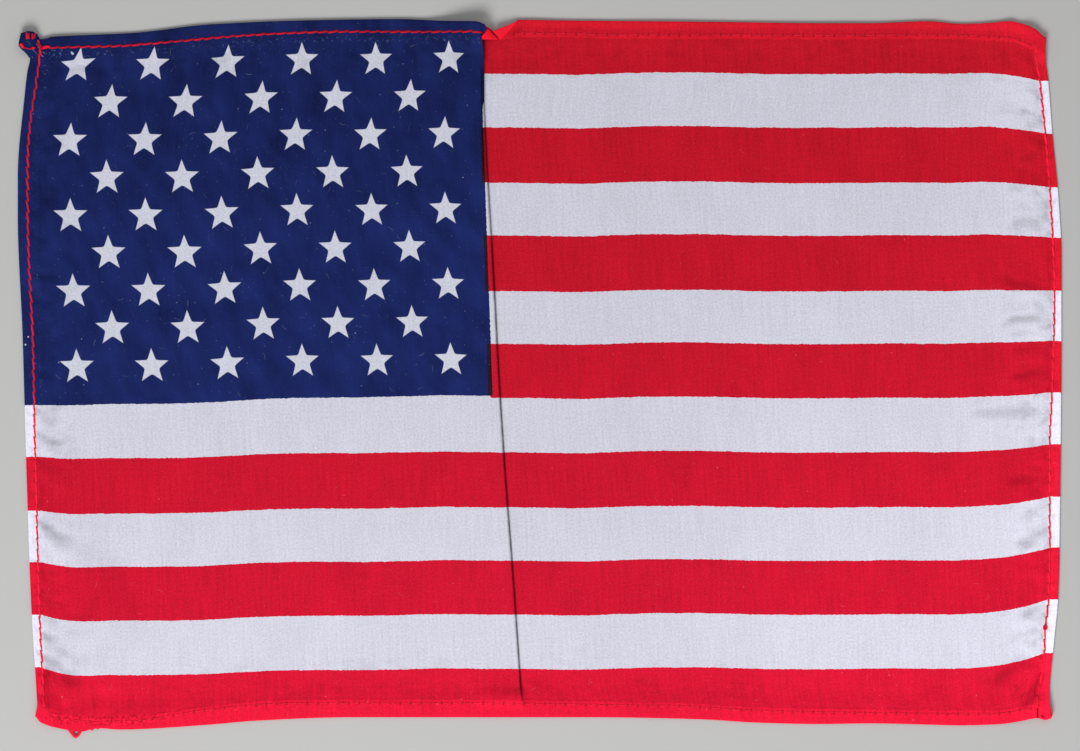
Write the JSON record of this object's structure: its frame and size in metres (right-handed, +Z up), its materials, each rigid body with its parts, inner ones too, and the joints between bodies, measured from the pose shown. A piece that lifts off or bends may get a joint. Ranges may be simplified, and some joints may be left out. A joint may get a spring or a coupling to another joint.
{
  "type": "small printed hand flag laid out flat",
  "caption": "Thin printed cloth hand flag, hemmed on all four sides with red thread, laid out face up with one narrow tuck beside its canton.",
  "frame": {"origin": "middle of the flag's box, on the surface it lies on", "axes": "+X along the fly, away from the hoist; +Y up the hoist, towards the canton's top edge; +Z up, out of the printed face"},
  "size_m": [0.1531, 0.1044, 0.0038],
  "materials": {
    "printed_cloth": "fine thin printed cloth, red and off-white stripes with a dark blue canton of white stars"
  },
  "bodies": {
    "root": {"flag_cloth": "printed_cloth"}
  },
  "joints": []
}
